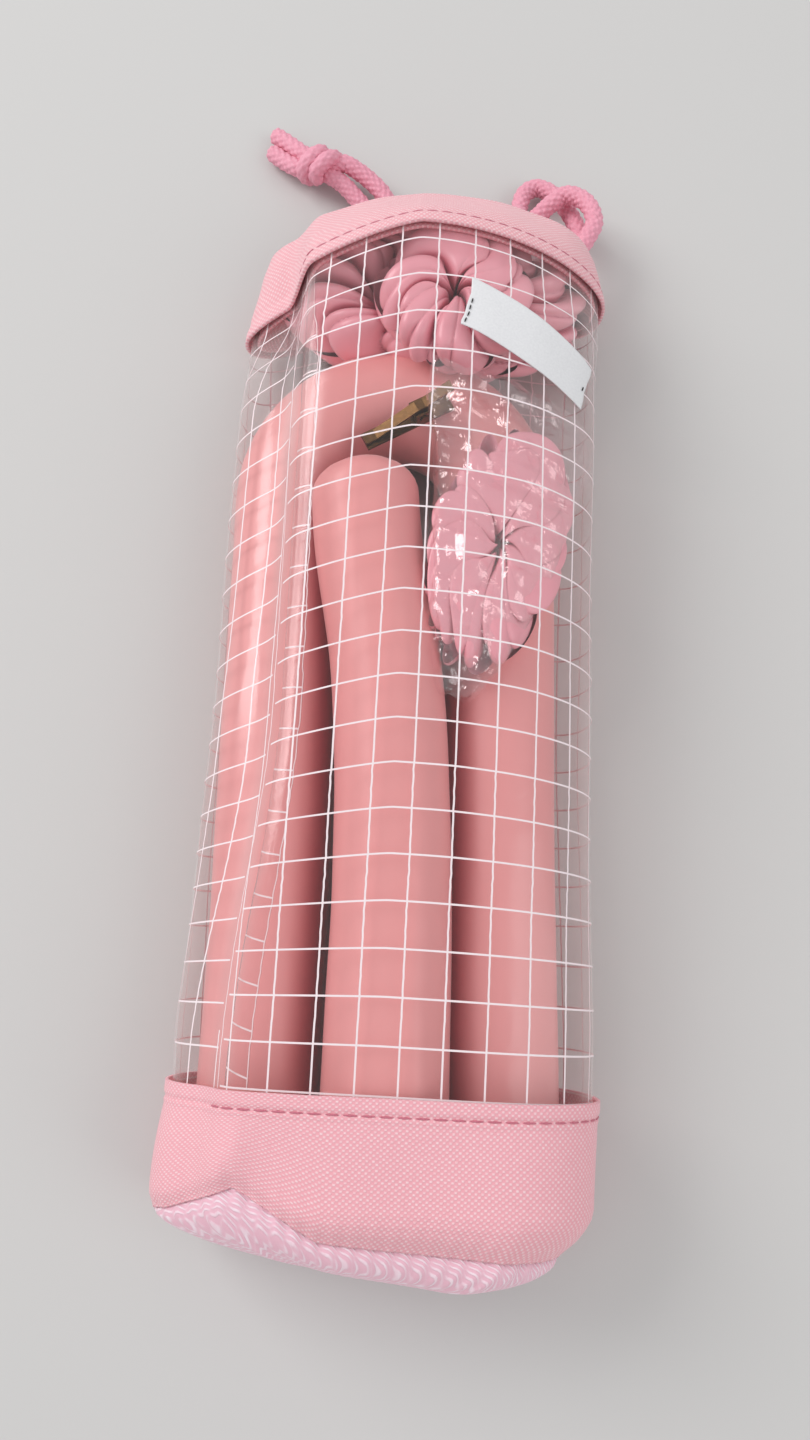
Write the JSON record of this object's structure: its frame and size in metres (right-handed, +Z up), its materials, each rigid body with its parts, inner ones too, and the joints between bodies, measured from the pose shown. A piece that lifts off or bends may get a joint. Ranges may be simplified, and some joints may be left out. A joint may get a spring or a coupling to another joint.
{
  "type": "drawstring_pouch",
  "caption": "Clear vinyl drawstring pouch with pink canvas base and hem, lying on its back, packed with a satin heatless-curling rod, satin scrunchies and a gold hair clip.",
  "frame": {"origin": "middle of the pouch on the floor it lies on, without the drawcords", "axes": "+X across the pouch to its right, +Y from the base disc to the mouth, +Z up from the floor"},
  "size_m": [0.0993, 0.3091, 0.0468],
  "materials": {
    "clear_vinyl": "gloss",
    "pink_canvas": "matte",
    "pink_thread": "matte",
    "dark_thread": "matte",
    "white_tape": "satin",
    "pink_cord": "matte",
    "satin": "satin",
    "gold_plate": "gloss",
    "clear_film": "gloss"
  },
  "bodies": {
    "pouch": {"back_cord_run": "pink_cord", "bagged_scrunchie": "satin", "base_band": "pink_canvas", "base_band_thread": "pink_thread", "base_disc": "pink_canvas", "clear_wall": "clear_vinyl", "clip_lower_arm": "gold_plate", "clip_pin": "gold_plate", "clip_spring": "gold_plate", "film_bag": "clear_film", "front_cord_run": "pink_cord", "hem_band": "pink_canvas", "hem_thread": "pink_thread", "label_thread_left": "dark_thread", "label_thread_right": "dark_thread", "satin_rod": "satin", "side_seam_strip": "clear_vinyl", "side_seam_thread": "white_tape", "upper_scrunchie": "satin", "woven_label": "white_tape"},
    "left_cord": {"left_cord_upper_leg": "pink_cord", "left_cord_lower_leg": "pink_cord", "left_cord_knot": "pink_cord", "left_cord_upper_tail": "pink_cord", "left_cord_lower_tail": "pink_cord"},
    "right_cord": {"right_cord_upper_leg": "pink_cord", "right_cord_lower_leg": "pink_cord", "right_cord_knot": "pink_cord", "right_cord_upper_tail": "pink_cord", "right_cord_lower_tail": "pink_cord"},
    "clip_jaw": {"clip_upper_arm": "gold_plate"}
  },
  "joints": [
    {"name": "left_cord_pull", "type": "slide", "parent": "pouch", "child": "left_cord", "axis": [0, 1, 0], "range_m": [0, 0.03]},
    {"name": "right_cord_pull", "type": "slide", "parent": "pouch", "child": "right_cord", "axis": [0, 1, 0], "range_m": [0, 0.03]},
    {"name": "clip_hinge", "type": "hinge", "parent": "pouch", "child": "clip_jaw", "pos_m": [0.00141, 0.07118, 0.0334], "axis": [-0.5, 0.866, 0], "range_deg": [0, 25], "stiffness_Nm_per_rad": 0.02, "springref_deg": -17.19}
  ]
}
